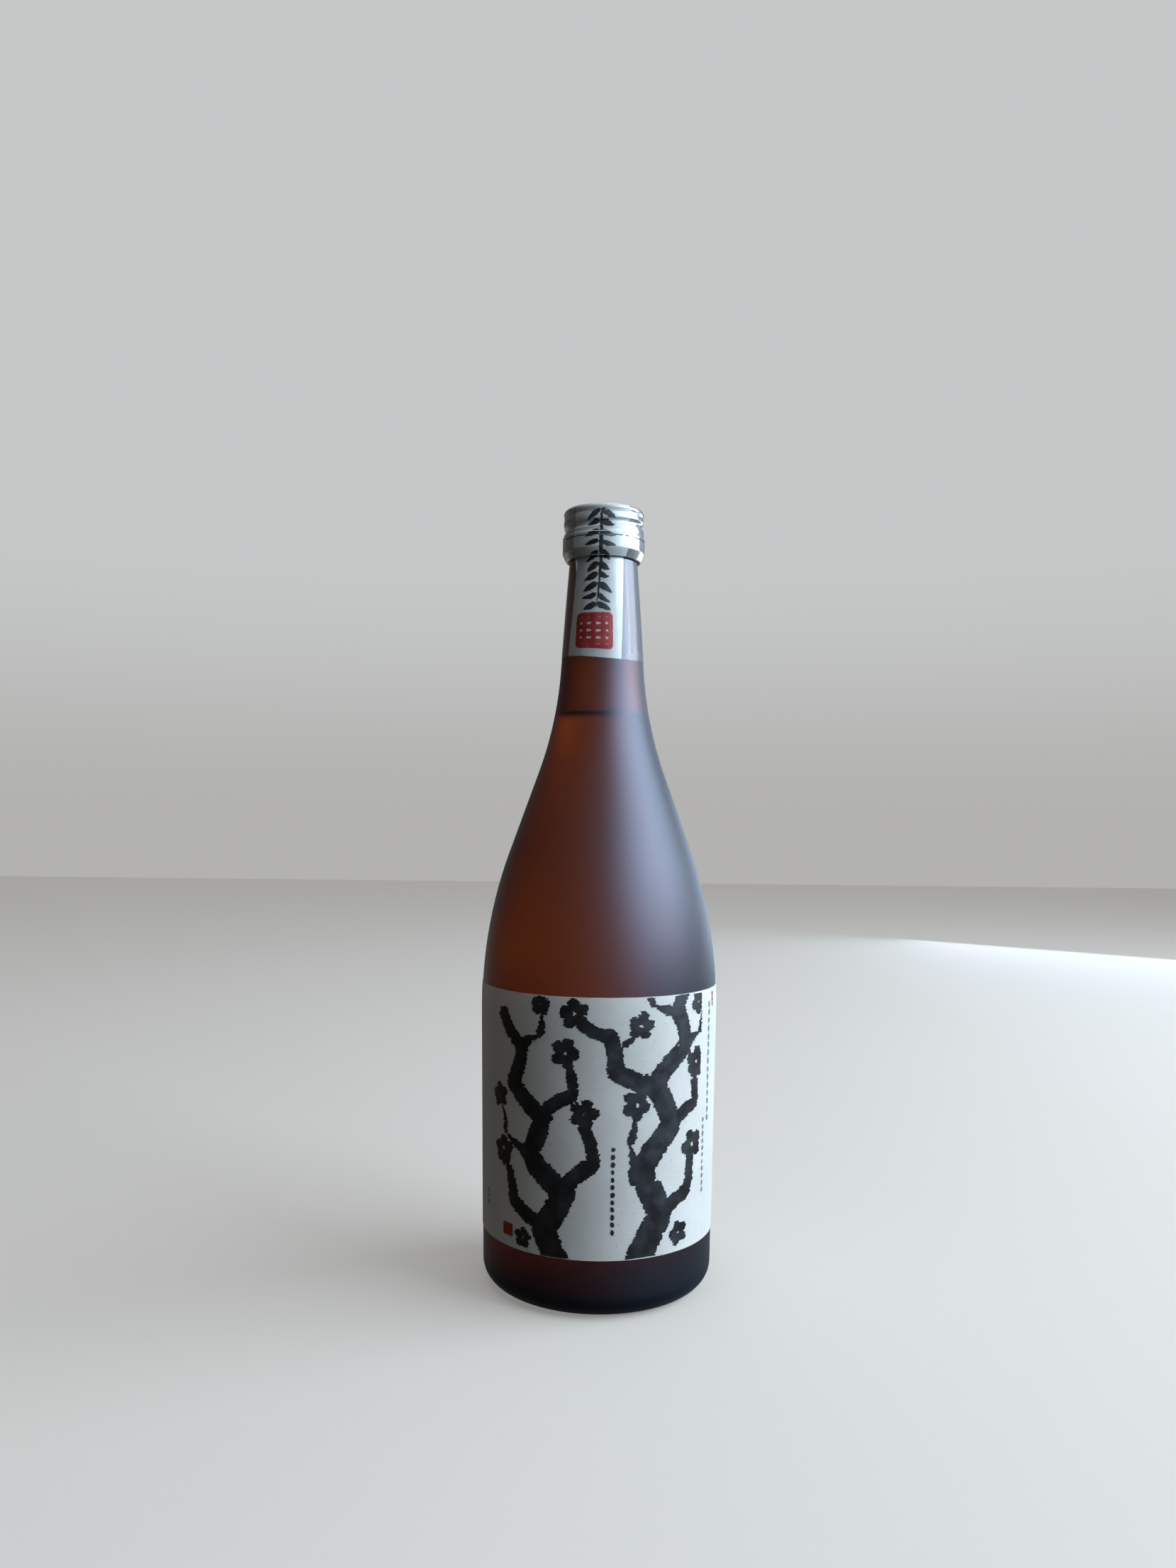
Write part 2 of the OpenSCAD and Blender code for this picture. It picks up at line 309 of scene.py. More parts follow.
bottle = {
    "bodyR": 42.1, "widestZ": 98.3, "bodyLean": 1.0, "heelR": 7.5, "wall": 2.9, "baseT": 4.5, "puntH": 3.0,
    "bearing": 2.0, "floorR": 9.0, "shoulderR": 159.0, "slopeLean": 19.5, "hollowR": 138.0, "neckLean": 4.1,
    "neckLength": 58.2, "neckR": 12.35, "boreR": 9.5, "boreLength": 19.0, "rootR": 12.9, "lipR": 1.1,
    "threadH": 0.85, "pitch": 4.2, "threadTurns": 1.5, "threadDrop": 2.1, "threadStart": -78.6,
    "ringR": 14.4, "ringH": 2.4, "ringDrop": 13.4, "ringEdge": 0.3, "fillZ": 201.6,
}


def sinD(angle):
    return math.sin(math.radians(angle))


def cosD(angle):
    return math.cos(math.radians(angle))


def tanD(angle):
    return math.tan(math.radians(angle))


def outlineCentres():
    b = bottle
    shoulder = (b["bodyR"] - b["shoulderR"], b["widestZ"])
    startR = shoulder[0] + b["shoulderR"] * cosD(b["bodyLean"])
    startZ = shoulder[1] - b["shoulderR"] * sinD(b["bodyLean"])
    drop = startZ - b["heelR"] * (1 - sinD(b["bodyLean"]))
    heelX = startR - drop * tanD(b["bodyLean"]) - b["heelR"] * cosD(b["bodyLean"])
    crossR = b["neckR"] + b["neckLength"] * tanD(b["neckLean"])
    endR = shoulder[0] + b["shoulderR"] * cosD(b["slopeLean"])
    crossZ = shoulder[1] + b["shoulderR"] * sinD(b["slopeLean"]) + (endR - crossR) / tanD(b["slopeLean"])
    back = b["hollowR"] * tanD((b["slopeLean"] - b["neckLean"]) / 2)
    hollow = (crossR + back * sinD(b["slopeLean"]) + b["hollowR"] * cosD(b["slopeLean"]),
              crossZ - back * cosD(b["slopeLean"]) + b["hollowR"] * sinD(b["slopeLean"]))
    return (heelX, b["heelR"]), shoulder, hollow


heelC, shoulderC, hollowC = outlineCentres()
lipZ = glassHigh.z / mm
ringZ = lipZ - bottle["ringDrop"]  # middle of the locking ring
neckTop = ringZ - bottle["ringH"] / 2 - (bottle["ringR"] - bottle["neckR"])


def outlineRadius(z, out=0.0):
    # radius of the bottle's outside at height z, moved outwards by out
    b = bottle
    heelR, shoulderR, hollowR = b["heelR"] + out, b["shoulderR"] + out, b["hollowR"] - out
    heelEnd = heelC[1] - heelR * sinD(b["bodyLean"])
    shoulderStart = shoulderC[1] - shoulderR * sinD(b["bodyLean"])
    shoulderEnd = shoulderC[1] + shoulderR * sinD(b["slopeLean"])
    hollowStart = hollowC[1] - hollowR * sinD(b["slopeLean"])
    hollowEnd = hollowC[1] - hollowR * sinD(b["neckLean"])
    if z < heelEnd:
        return heelC[0] + math.sqrt(max(heelR ** 2 - (z - heelC[1]) ** 2, 0))
    if z < shoulderStart:
        return shoulderC[0] + shoulderR * cosD(b["bodyLean"]) - (shoulderStart - z) * tanD(b["bodyLean"])
    if z < shoulderEnd:
        return shoulderC[0] + math.sqrt(shoulderR ** 2 - (z - shoulderC[1]) ** 2)
    if z < hollowStart:
        return shoulderC[0] + shoulderR * cosD(b["slopeLean"]) - (z - shoulderEnd) * tanD(b["slopeLean"])
    if z < hollowEnd:
        return hollowC[0] - math.sqrt(hollowR ** 2 - (z - hollowC[1]) ** 2)
    return hollowC[0] - hollowR * cosD(b["neckLean"]) - (z - hollowEnd) * tanD(b["neckLean"])


def dome(reach, rise, rimZ, count):
    # from the axis out to reach, like the hollow under the base
    big = (reach ** 2 + rise ** 2) / (2 * rise)
    steps = [reach * i / count for i in range(count + 1)]
    return [(r, rimZ + rise - big + math.sqrt(big ** 2 - r ** 2)) for r in steps]


def insidePath(topZ, out):
    # the inner wall from the floor's centre up to topZ, moved outwards by out
    b = bottle
    floorC = (outlineRadius(b["baseT"] + b["floorR"], -b["wall"]) - b["floorR"], b["baseT"] + b["floorR"])
    floor = [(r, z - out) for r, z in dome(floorC[0], b["puntH"], b["baseT"], 12)]
    corner = arc(floorC, b["floorR"] + out, -90, -b["bodyLean"], 12)
    heights = np.linspace(floorC[1] + 1.5, topZ, 72)
    return floor + corner[1:] + [(outlineRadius(z, out - b["wall"]), z) for z in heights]


# frosted brown glass

glassLook = {
    "rough": 0.49, "innerRough": 0.05, "ior": 1.5, "tint": (0.79, 0.515, 0.15, 1), "density": 950,
    "gleam": (0.42, 0.72, 1.0, 1), "bloom": (0.35, 0.68, 1.0, 1), "waviness": 3.0,
    "cleanDepth": 1.2, "cleanFloor": 3.6,  # deeper in the wall and higher than this, nothing is etched
}


def brownGlass():
    # one material for the whole wall; the attribute frost is 1 where the glass is etched
    material, tree, shader = newMaterial("brownGlass")
    shader.inputs["Base Color"].default_value = (1, 1, 1, 1)
    shader.inputs["IOR"].default_value = glassLook["ior"]
    shader.inputs["Transmission Weight"].default_value = 1
    shader.inputs["Specular Tint"].default_value = glassLook["gleam"]
    shader.inputs["Specular IOR Level"].default_value = 0.75
    shader.inputs["Coat Weight"].default_value = 0.35
    shader.inputs["Coat Roughness"].default_value = glassLook["rough"]
    shader.inputs["Sheen Weight"].default_value = 0.08
    shader.inputs["Sheen Roughness"].default_value = 0.45
    shader.inputs["Sheen Tint"].default_value = glassLook["bloom"]
    frost = node(tree, "ShaderNodeAttribute", {"attribute_name": "frost"})
    rough = spread(tree, frost.outputs["Fac"], 0, 1, glassLook["innerRough"], glassLook["rough"])
    tree.links.new(rough, shader.inputs["Roughness"])
    etch = noiseTexture(tree, objectCoords(tree), 2600, detail=2, roughness=0.6)
    grain = combine(tree, "MULTIPLY", etch, frost.outputs["Fac"])
    wave = noiseTexture(tree, objectCoords(tree, (1, 1, 0.35)), 55, detail=2)
    addBump(tree, shader, combine(tree, "MULTIPLY_ADD", wave, glassLook["waviness"], grain), 0.35, 0.00006)
    absorb = node(tree, "ShaderNodeVolumeAbsorption", Color=glassLook["tint"], Density=glassLook["density"])
    tree.links.new(absorb.outputs[0], tree.nodes["Material Output"].inputs["Volume"])
    return material


def alongThread(z, angle, start, foot, turns, half, slope, fade):
    # 1 on the crest of a thread that starts at an angle and a height, 0 away from it
    best = 0.0
    for lap in range(3):
        run = (angle - start) % 360 + 360 * lap
        if run > 360 * turns:
            break
        off = abs(z - foot - bottle["pitch"] * run / 360)
        ends = max(min(1, run / fade, (360 * turns - run) / fade), 0)
        flank = min(1, max(0, (half - off) / slope))
        best = max(best, ends * flank * flank * (3 - 2 * flank))
    return best


def threadRise(z, angle):
    # how far the thread stands out at a height and an angle round the finish
    b = bottle
    foot = lipZ - b["threadDrop"] - b["threadTurns"] * b["pitch"]
    return b["threadH"] * alongThread(z, angle, b["threadStart"], foot, b["threadTurns"], 1.25, 0.75, 35)


def makeGlass():
    b = bottle
    outside = dome(heelC[0] - b["bearing"], b["puntH"], 0, 12)
    outside += arc(heelC, b["heelR"], -90, -b["bodyLean"], 14)
    start = heelC[1] - b["heelR"] * sinD(b["bodyLean"])
    outside += [(outlineRadius(z), z) for z in np.linspace(start + 2, neckTop, 110)]
    h, edge = b["ringH"] / 2, b["ringEdge"]
    r = b["ringR"] - edge
    outside += between((b["neckR"], neckTop), (r, ringZ - h - edge), 5)[1:]
    outside += arc((r, ringZ - h + 0.1), edge, -30, 0, 3) + arc((r, ringZ + h - edge), edge, 0, 45, 4)
    outside += between((r, ringZ + h), (b["rootR"], ringZ + h + 1.5), 6)[1:]
    rows = np.arange(ringZ + h + 1.7, lipZ - b["lipR"], 0.2)  # fine, for the thread
    outside += [(b["rootR"], z) for z in rows]
    outside += arc((b["rootR"] - b["lipR"], lipZ - b["lipR"]), b["lipR"], 0, 90, 8)
    inside = arc((b["boreR"] + b["lipR"], lipZ - b["lipR"]), b["lipR"], 90, 180, 8)
    inside += [(b["boreR"], z) for z in np.linspace(lipZ - 3, lipZ - b["boreLength"], 5)]
    inside += insidePath(lipZ - b["boreLength"] - 2, 0.0)[::-1]
    bm = lathe(outside + inside)
    for vert in bm.verts:
        z = vert.co.z / mm
        if z > ringZ + 1 and abs(reachOf(vert.co) - b["rootR"]) < 0.02:
            grow(vert, threadRise(z, turnOf(vert.co)))
    piece = finishPiece(bm, "glassBottle", brownGlass(), "bottle", ["glass_bottle"])
    frost = piece.data.attributes.new("frost", "FLOAT", "POINT")
    for i, vert in enumerate(piece.data.vertices):
        z = vert.co.z / mm
        inner = reachOf(vert.co) < outlineRadius(z) - glassLook["cleanDepth"] and z > glassLook["cleanFloor"]
        frost.data[i].value = 0 if inner or z > neckTop else 1


makeGlass()


# sake, filled into the neck

sakeLook = {"ior": 1.36, "tint": (0.96, 0.93, 0.72, 1), "density": 6.0, "meniscus": 2.0, "overlap": 0.05}


def sakeMaterial():
    material, tree, shader = newMaterial("sake")
    shader.inputs["Base Color"].default_value = (1, 1, 1, 1)
    shader.inputs["Roughness"].default_value = 0.0
    shader.inputs["IOR"].default_value = sakeLook["ior"]
    shader.inputs["Transmission Weight"].default_value = 1
    absorb = node(tree, "ShaderNodeVolumeAbsorption", Color=sakeLook["tint"], Density=sakeLook["density"])
    tree.links.new(absorb.outputs[0], tree.nodes["Material Output"].inputs["Volume"])
    ripple = noiseTexture(tree, objectCoords(tree), 30, detail=1)
    addBump(tree, shader, ripple, 0.05, 0.0002)
    return material


def makeSake():
    top = bottle["fillZ"]
    wall = insidePath(top, sakeLook["overlap"])
    reach = wall[-1][0]
    shares = [1 - i / 10 for i in range(1, 11)]  # in from the glass, where the surface climbs
    surface = [(reach * s, top - sakeLook["meniscus"] * (1 - s ** 8)) for s in shares]
    bm = lathe(wall + surface, 128)
    finishPiece(bm, "sake", sakeMaterial(), "bottle")


makeSake()


# paper label

label = {
    "low": labelLow.z / mm, "high": labelHigh.z / mm, "wrap": 318, "gap": 0.03, "thick": 0.15, "faceR": 42.2,
}


def washiPaper():
    material, tree, shader = newMaterial("washiPaper")
    vector = objectCoords(tree)
    cloud = noiseTexture(tree, vector, 60, detail=5, roughness=0.6)
    fibre = noiseTexture(tree, objectCoords(tree, (1, 1, 2.6)), 300, detail=6, roughness=0.75, distortion=1.6)
    fleck = noiseTexture(tree, vector, 900, detail=1, roughness=0.4)
    base = blendColours(tree, spread(tree, cloud, 0.35, 0.65, 0, 1), (0.74, 0.73, 0.70), (0.80, 0.79, 0.765))
    threads = blendColours(tree, spread(tree, fibre, 0.57, 0.68, 0, 0.75), base, (0.90, 0.90, 0.885))
    specks = blendColours(tree, spread(tree, fleck, 0.70, 0.76, 0, 0.45), threads, (0.55, 0.50, 0.42))
    tree.links.new(specks, shader.inputs["Base Color"])
    rough = spread(tree, cloud, 0.3, 0.7, 0.62, 0.78)
    tree.links.new(rough, shader.inputs["Roughness"])
    shader.inputs["Specular IOR Level"].default_value = 0.35
    shader.inputs["Sheen Weight"].default_value = 0.12
    addBump(tree, shader, fibre, 0.30, 0.00008)
    return material


def makeLabel():
    heights = np.linspace(label["low"], label["high"], 60)
    inner = [(outlineRadius(z, label["gap"]), z) for z in heights]
    outer = [(outlineRadius(z, label["gap"] + label["thick"]), z) for z in heights]
    bm = lathe(inner + outer[::-1], 212, label["wrap"], -label["wrap"] / 2, closed=True)
    finishPiece(bm, "paperLabel", washiPaper(), "bottle", ["label"])


makeLabel()


# brush ink, shaped as a field of distances and cut from a fine grid

ink = {"cell": 0.34, "fineCell": 0.15, "lift": 0.03, "thick": 0.02, "edge": 0.15, "fineEdge": 0.05, "seed": 7}


def smoothNoise(u, v, size, seed):
    # repeatable noise between -1 and 1 with features about size millimetres wide
    grid = np.random.RandomState(seed).uniform(-1, 1, (97, 97))
    x, y = np.asarray(u) / size + 40.3, np.asarray(v) / size + 40.7
    i, j = np.floor(x).astype(int), np.floor(y).astype(int)
    fx, fy = x - i, y - j
    fx, fy = fx * fx * (3 - 2 * fx), fy * fy * (3 - 2 * fy)
    i0, j0, i1, j1 = i % 97, j % 97, (i + 1) % 97, (j + 1) % 97
    low = grid[i0, j0] * (1 - fx) + grid[i1, j0] * fx
    high = grid[i0, j1] * (1 - fx) + grid[i1, j1] * fx
    return low * (1 - fy) + high * fy


def brushStroke(start, end, width, bend=0.0, belly=0.6, dry=0.0, blunt=False):
    # a stroke from start to end in millimetres; bend pushes its middle sideways
    return {"start": start, "end": end, "width": width, "bend": bend, "belly": belly, "dry": dry,
            "blunt": blunt}


def strokeField(stroke, u, v, seed, ragged):
    # distance inside the stroke's edge, positive in the ink
    start, end = np.array(stroke["start"], float), np.array(stroke["end"], float)
    along = end - start
    length = np.hypot(*along)
    side = np.array([-along[1], along[0]]) / length
    t = np.linspace(0, 1, 64)
    spine = start + np.outer(t, along) + np.outer(4 * t * (1 - t) * stroke["bend"], side)
    if stroke["blunt"]:
        half = stroke["width"] / 2 * (1 + 0.22 * np.abs(2 * t - 1) ** 6)
        half *= np.minimum(1, np.minimum(t, 1 - t) * length / stroke["width"] * 2.4 + 0.35)
    else:
        half = stroke["width"] / 2 * np.sin(math.pi * t ** stroke["belly"]) ** 0.85
    reach = np.hypot(u[:, None] - spine[None, :, 0], v[:, None] - spine[None, :, 1])
    value = half[None, :] - reach
    best = value.argmax(axis=1)
    field = value[np.arange(len(u)), best]
    edge = ragged * (smoothNoise(u, v, 1.3, seed) + 0.6 * smoothNoise(u, v, 0.6, seed + 1))
    if stroke["dry"] > 0:
        across = (u - start[0]) * side[0] + (v - start[1]) * side[1]
        run = ((u - start[0]) * along[0] + (v - start[1]) * along[1]) / length
        streak = smoothNoise(run * 0.16, across, 0.55, seed + 2)
        far = np.clip((t[best] - 0.55) / 0.45, 0, 1)
        edge = edge - stroke["dry"] * far * np.clip(streak + 0.25, 0, 1) * stroke["width"] * 0.55
    return field + edge


def inkField(strokes, u, v, ragged):
    # all strokes together; each is only worked out near itself
    total = np.full(len(u), -9.0)
    for i, stroke in enumerate(strokes):
        ends = np.array([stroke["start"], stroke["end"]])
        margin = stroke["width"] + abs(stroke["bend"]) + 1.5
        low, high = ends.min(axis=0) - margin, ends.max(axis=0) + margin
        near = (u > low[0]) & (u < high[0]) & (v > low[1]) & (v < high[1])
        if near.any():
            field = strokeField(stroke, u[near], v[near], ink["seed"] + 5 * i, ragged)
            total[near] = np.maximum(total[near], field)
    return total


def inkSheet(shape, low, high, cell):
    # a grid over the box from low to high, cut back to where the shape's field is positive
    size = np.array(high, float) - np.array(low, float)
    counts = np.maximum(1, np.round(size / cell).astype(int))
    bm = bmesh.new()
    bmesh.ops.create_grid(bm, x_segments=int(counts[0]), y_segments=int(counts[1]), size=0.5)
    middle = (np.array(low) + np.array(high)) / 2
    for vert in bm.verts:
        vert.co = (vert.co.x * size[0] + middle[0], vert.co.y * size[1] + middle[1], 0)
    place = np.array([vert.co[:2] for vert in bm.verts])
    u, v = place[:, 0], place[:, 1]

    def field(a, b):
        inside = np.minimum.reduce([a - low[0], high[0] - a, b - low[1], high[1] - b])
        return np.minimum(shape(a, b), inside + 0.02)

    here = field(u, v)
    step = 0.06
    slopeU = (field(u + step, v) - field(u - step, v)) / (2 * step)
    slopeV = (field(u, v + step) - field(u, v - step)) / (2 * step)
    steep = np.maximum(slopeU ** 2 + slopeV ** 2, 0.25)
    bm.verts.ensure_lookup_table()
    keep = here > 0
    doomed = [face for face in bm.faces if not any(keep[vert.index] for vert in face.verts)]
    bmesh.ops.delete(bm, geom=doomed, context="FACES")
    for vert in bm.verts:
        i = vert.index
        if here[i] < 0:
            shift = min(-here[i] / steep[i], cell * 1.1)
            vert.co.x += shift * slopeU[i]
            vert.co.y += shift * slopeV[i]
    return bm


def thicken(bm, merge):
    # gives a laid sheet its thickness
    bmesh.ops.remove_doubles(bm, verts=bm.verts, dist=merge * mm)
    made = bmesh.ops.extrude_face_region(bm, geom=bm.faces[:])
    for item in made["geom"]:
        if isinstance(item, bmesh.types.BMVert):
            grow(item, ink["thick"])
    bmesh.ops.recalc_face_normals(bm, faces=bm.faces)


def layOnLabel(bm):
    # lays a flat sheet (across, up) on the paper
    for vert in bm.verts:
        z = vert.co.y
        r = outlineRadius(z, label["gap"] + label["thick"]) + ink["lift"]
        angle = vert.co.x / label["faceR"]
        vert.co = (r * math.sin(angle) * mm, -r * math.cos(angle) * mm, z * mm)
    thicken(bm, 0.02)


def blackInk(name="blackInk", colour=(0.010, 0.009, 0.009), thin=(0.030, 0.030, 0.034)):
    material, tree, shader = newMaterial(name)
    pool = noiseTexture(tree, objectCoords(tree), 190, detail=4, roughness=0.6)
    tone = blendColours(tree, spread(tree, pool, 0.42, 0.70, 0, 1), colour, thin)
    tree.links.new(tone, shader.inputs["Base Color"])
    tree.links.new(spread(tree, pool, 0.35, 0.65, 0.42, 0.58), shader.inputs["Roughness"])
    grain = noiseTexture(tree, objectCoords(tree), 1100, detail=2)
    addBump(tree, shader, grain, 0.2, 0.00004)
    return material


def redInk(name):
    material, tree, shader = newMaterial(name)
    patch = noiseTexture(tree, objectCoords(tree), 420, detail=4, roughness=0.65)
    worn = spread(tree, patch, 0.35, 0.65, 0, 1)
    tone = blendColours(tree, worn, (0.34, 0.012, 0.012), (0.50, 0.030, 0.026))
    tree.links.new(tone, shader.inputs["Base Color"])
    tree.links.new(spread(tree, patch, 0.35, 0.65, 0.5, 0.65), shader.inputs["Roughness"])
    return material


def latticeField(across, up, look):
    # a rounded square border crossed by a lattice, both measured from its middle, positive in the ink
    half, bar, corner = look["half"], look["bar"], look["corner"]
    overU = np.maximum(np.abs(across) - half[0] + corner, 0)
    overV = np.maximum(np.abs(up) - half[1] + corner, 0)
    box = corner - np.hypot(overU, overV)
    border = np.minimum(box, bar - box)
    lines = np.full(len(across), -9.0)
    for place, size, gaps in ((across, half[0], look["gaps"][0]), (up, half[1], look["gaps"][1])):
        for i in range(1, gaps):
            lines = np.maximum(lines, bar / 2 - np.abs(place - size * (2 * i / gaps - 1)))
    return np.maximum(border, np.minimum(lines, box))


def latticeSheet(middle, look):
    # a seal with a plain lattice and a slightly worn edge
    width, height = [size + look["margin"] for size in look["half"]]
    low, high = (middle[0] - width, middle[1] - height), (middle[0] + width, middle[1] + height)

    def shape(u, v):
        return latticeField(u - middle[0], v - middle[1], look) + look["wear"] * smoothNoise(u, v, 1.0, 31)

    return inkSheet(shape, low, high, look["cell"])


def branch(points, first, last, dry=0.6):
    # knotty lengths of brushwork through the points, growing thinner from first to last
    strokes = []
    count = len(points) - 1
    dice = np.random.RandomState(int(abs(points[-1][0]) * 10))
    for i in range(count):
        start, end = np.array(points[i], float), np.array(points[i + 1], float)
        width = first + (last - first) * (i + 0.5) / count
        over = (end - start) / np.hypot(*(end - start)) * width * 0.18
        strokes.append(brushStroke(tuple(start - over), tuple(end + over), width, 0.9 * (-1) ** i,
                                   dry=dry * dice.uniform(0, 1.3) ** 2, blunt=True))
    return strokes


def twig(start, middle, end, width):
    # two tapering strokes that leave a branch
    return [brushStroke(start, middle, width, 0.5, 0.45, 0.2),
            brushStroke(middle, end, width * 0.75, -0.6, 0.4, 0.5)]


def blossom(middle, size, turn):
    # five dabs round a small open middle
    strokes = []
    for i in range(5):
        way = math.radians(turn + 72 * i)
        near = (middle[0] + 0.30 * size * math.cos(way), middle[1] + 0.30 * size * math.sin(way))
        far = (middle[0] + size * math.cos(way), middle[1] + size * math.sin(way))
        strokes.append(brushStroke(near, far, size * 0.85, 0.12 * (-1) ** i, 1.0, 0.25))
    return strokes


# millimetres across the label's front and up from its lower edge
painting = {
    "branches": [  # points, first and last width, dryness
        (((13, -4), (22, 13), (14, 27), (26, 42), (19, 56), (32, 68), (28, 80), (36, 92)), 10.0, 4.6, 0.6),
        (((26, 42), (37, 48), (36, 58)), 4.8, 3.2, 0.9),
        (((19, 56), (5, 62), (3, 73), (-6, 77)), 6.2, 3.4, 0.9),
        (((22, 13), (33, 19), (35, 29)), 5.4, 3.4, 0.8),
        (((-12, -4), (-19, 10), (-12, 22), (-25, 33), (-20, 46), (-32, 56), (-28, 68), (-37, 78)),
         9.0, 4.2, 0.6),
        (((-12, 22), (-2, 31), (-5, 43)), 5.6, 3.4, 0.9),
        (((-19, 10), (-32, 17), (-36, 28)), 5.4, 3.2, 0.8),
        (((-20, 46), (-9, 53), (-11, 63)), 4.6, 2.8, 0.9),
    ],
    "twigs": [  # start, middle, end, width
        ((14, 27), (10.5, 38), (12, 47), 3.2), ((32, 68), (40, 72), (41, 80), 3.0),
        ((28, 80), (18, 83), (14, 90), 3.4), ((-28, 68), (-21, 72), (-20, 80), 3.4),
        ((-25, 33), (-36, 38), (-38, 47), 3.0), ((5, 62), (8, 70), (12, 74), 2.6),
    ],
    "blossoms": [  # middle, size, turn in degrees
        ((38, 62), 4.6, 10), ((36.5, 34), 4.8, 40), ((12.5, 50), 4.3, 60), ((-8.5, 80), 4.4, 25),
        ((14, 76), 4.0, 5), ((39, 82), 3.6, 50), ((-20.5, 82.2), 3.2, 15), ((-39, 50), 3.6, 30),
        ((-11.5, 67), 4.4, 70), ((-5, 47.5), 4.2, 0), ((-37, 32), 4.2, 20), ((30, 6), 3.6, 35),
        ((-27.5, 4.5), 3.0, 12), ((11, 90), 3.0, 40),
    ],
    "left": -43, "right": 41, "inset": 0.2,
}
stamp = {
    "middle": (-34.8, 5.6), "half": (2.5, 2.1), "bar": 0.75, "gaps": (3, 4), "corner": 0.4, "margin": 0.3,
    "cell": 0.10, "wear": 0,
}


def onLabel(*points):
    return [(u, label["low"] + v) for u, v in points]


def paintedLabel():
    strokes = []
    for points, first, last, dry in painting["branches"]:
        strokes += branch(onLabel(*points), first, last, dry)
    for start, middle, end, width in painting["twigs"]:
        strokes += twig(*onLabel(start, middle, end), width)
    for middle, size, turn in painting["blossoms"]:
        strokes += blossom(*onLabel(middle), size, turn)
    return strokes


def makeLabelInk():
    strokes = paintedLabel()
    low = (painting["left"], label["low"] + painting["inset"])
    high = (painting["right"], label["high"] - painting["inset"])
    bm = inkSheet(lambda u, v: inkField(strokes, u, v, ink["edge"]), low, high, ink["cell"])
    layOnLabel(bm)
    finishPiece(bm, "labelInk", blackInk(), "bottle", smooth=False)


def makeStamp():
    bm = latticeSheet(onLabel(stamp["middle"])[0], stamp)
    layOnLabel(bm)
    finishPiece(bm, "labelStamp", redInk("stampRed"), "bottle", smooth=False)


greyTones = ((0.20, 0.20, 0.20), (0.27, 0.27, 0.27))
smallMarks = [  # across, first and last height, number of dabs, size, ink
    (4.6, 36, 9, 12, 2.1, blackInk("smallInk", (0.016, 0.015, 0.015), (0.04, 0.04, 0.04))),
    (47.0, 80, 41, 15, 2.5, blackInk("greyInk", *greyTones)),
    (43.6, 41, 17, 11, 2.0, blackInk("greyInkLow", *greyTones)),
    (-48.5, 15.0, 11.0, 3, 1.9, blackInk("blueGreyInk", (0.22, 0.23, 0.30), (0.30, 0.31, 0.38))),
    (50.5, 83, 79.5, 3, 2.4, redInk("edgeRed")),
]


def makeSmallMarks():
    # plain dabs where a label carries its small print; they spell nothing
    dice = np.random.RandomState(21)
    low = label["low"]
    for number, (u, first, last, count, size, tone) in enumerate(smallMarks):
        strokes = []
        for i in range(count):
            v = low + first + (last - first) * i / (count - 1)
            tall, lean = dice.uniform(0.5, 0.8) * size, dice.uniform(-0.25, 0.25) * size
            head, foot = (u - lean / 2, v + tall / 2), (u + lean / 2, v - tall / 2)
            strokes.append(brushStroke(head, foot, size * 0.55, 0.1, 0.8))
        bm = inkSheet(lambda a, b: inkField(strokes, a, b, ink["edge"]),
                      (u - size, low + last - 3), (u + size, low + first + 3), ink["fineCell"])
        layOnLabel(bm)
        finishPiece(bm, "smallMarks%d" % number, tone, "bottle", smooth=False)


makeLabelInk()
makeStamp()
makeSmallMarks()


# rolled aluminium cap, its liner and the tamper band

cap = {
    "top": capHigh.z / mm, "low": capLow.z / mm, "r": 14.5, "t": 0.25, "edge": 1.3, "groove": 0.25,
    "bandR": capHigh.x / mm, "rollZ": 266.35, "rollAngle": 118.5, "rollTurns": 1.167, "rollFloor": 13.5,
    "rollW": 3.1, "swell": 0.26, "swellPitch": 3.8, "hem": 0.8, "flareH": 1.6, "cutGap": 0.35, "bridges": 10,
}
capEdge = (cap["r"] - cap["edge"], cap["top"] - cap["edge"])  # centre of the rounded top edge
grooveZ = capEdge[1] - 4 * cap["groove"]
flareZ = cap["low"] + cap["hem"]  # the skirt has its full width below this
bandTop = capLow.z / mm - cap["cutGap"]


def rolledAluminium(name):
    material, tree, shader = newMaterial(name)
    shader.inputs["Metallic"].default_value = 1
    lines = noiseTexture(tree, objectCoords(tree, (0.05, 0.05, 1)), 2600, detail=3, roughness=0.6)
    wear = noiseTexture(tree, objectCoords(tree), 120, detail=4, roughness=0.6)
    tone = blendColours(tree, spread(tree, wear, 0.35, 0.65, 0, 1), (0.80, 0.81, 0.83), (0.90, 0.905, 0.91))
    tree.links.new(tone, shader.inputs["Base Color"])
    tree.links.new(spread(tree, wear, 0.3, 0.7, 0.10, 0.19), shader.inputs["Roughness"])
    addBump(tree, shader, lines, 0.15, 0.00004)
    return material


def rollDepth(z, angle):
    # depth of the rolled thread at a height and an angle round the cap
    depth = 0.0
    if cap["rollZ"] - 0.7 < z < cap["rollZ"] + 7:
        depth = cap["swell"] * easing(2 * (z - cap["rollZ"] - 1.1), cap["swellPitch"])
    crest = alongThread(z, angle, cap["rollAngle"], cap["rollZ"], cap["rollTurns"], cap["rollW"] / 2, 1.1, 40)
    return max(depth, (cap["r"] - cap["rollFloor"]) * crest)


def flareSide(r):
    # from the straight wall out to the skirt's full width
    flare = cap["bandR"] - cap["r"]
    return [(r + flare * easing(k, 8), flareZ + cap["flareH"] * (1 - k / 8)) for k in range(9)]


